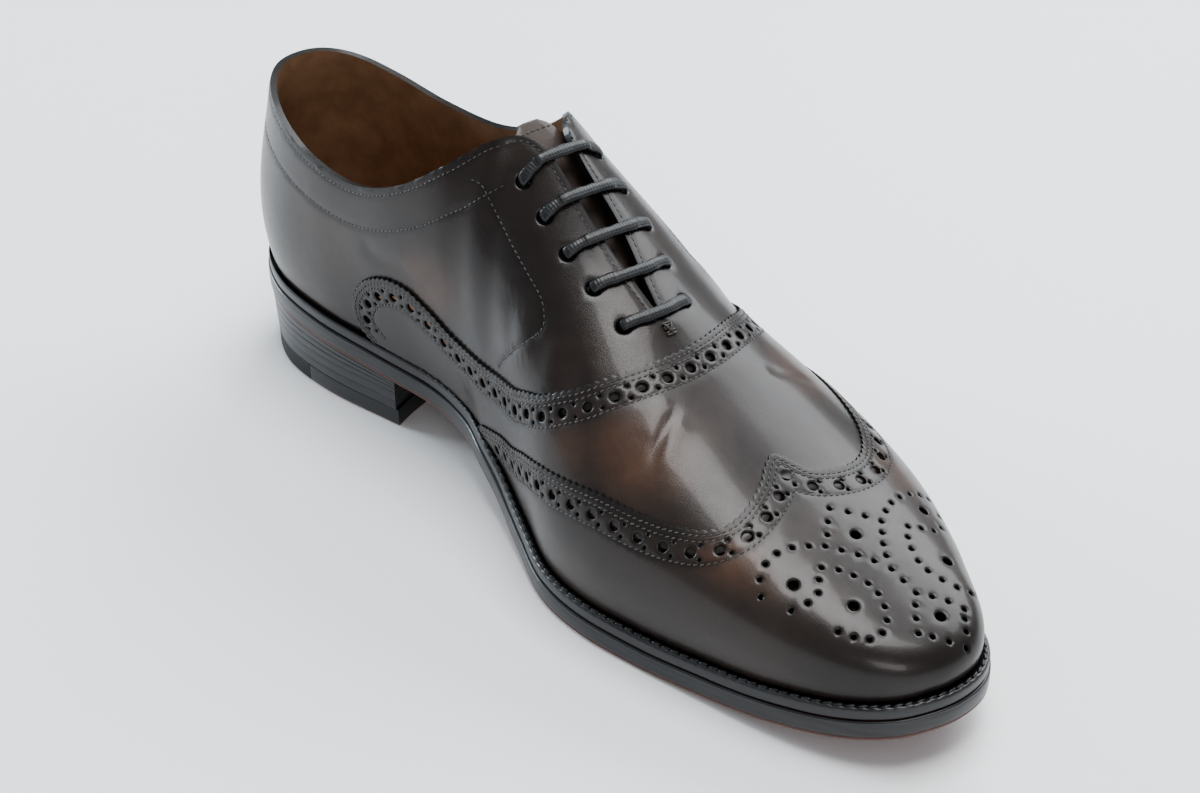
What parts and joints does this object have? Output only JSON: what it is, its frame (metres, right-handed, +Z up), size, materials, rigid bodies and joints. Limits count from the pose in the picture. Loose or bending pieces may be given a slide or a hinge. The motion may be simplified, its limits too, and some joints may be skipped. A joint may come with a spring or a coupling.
{
  "type": "leather dress shoe",
  "caption": "Left lace-up leather shoe with a wing-shaped toe cap, punched seams, closed facings, welted leather sole and a stacked heel.",
  "frame": {"origin": "middle of the footprint, on the floor", "axes": "+X towards the toe, +Y towards the outer side of the foot, +Z up"},
  "size_m": [0.2926, 0.1006, 0.1132],
  "materials": {
    "upper_leather": "burnished dark brown calf, lighter on the broad panels, dark at seams and edges, soft gloss",
    "sole_leather": "polished red-brown sole leather",
    "edge_leather": "black dressed edge, satin",
    "lining_leather": "natural tan lining leather, matt",
    "heel_rubber": "black rubber, matt",
    "lace_cord": "black waxed cotton lace"
  },
  "bodies": {
    "root": {"outsole": "sole_leather", "welt": "edge_leather", "heel_stack": "edge_leather", "top_piece": "sole_leather", "top_piece_rubber": "heel_rubber", "insole": "lining_leather", "upper": "upper_leather", "vamp": "upper_leather", "wing_cap": "upper_leather", "tongue": "upper_leather", "lace": "lace_cord"}
  },
  "joints": []
}
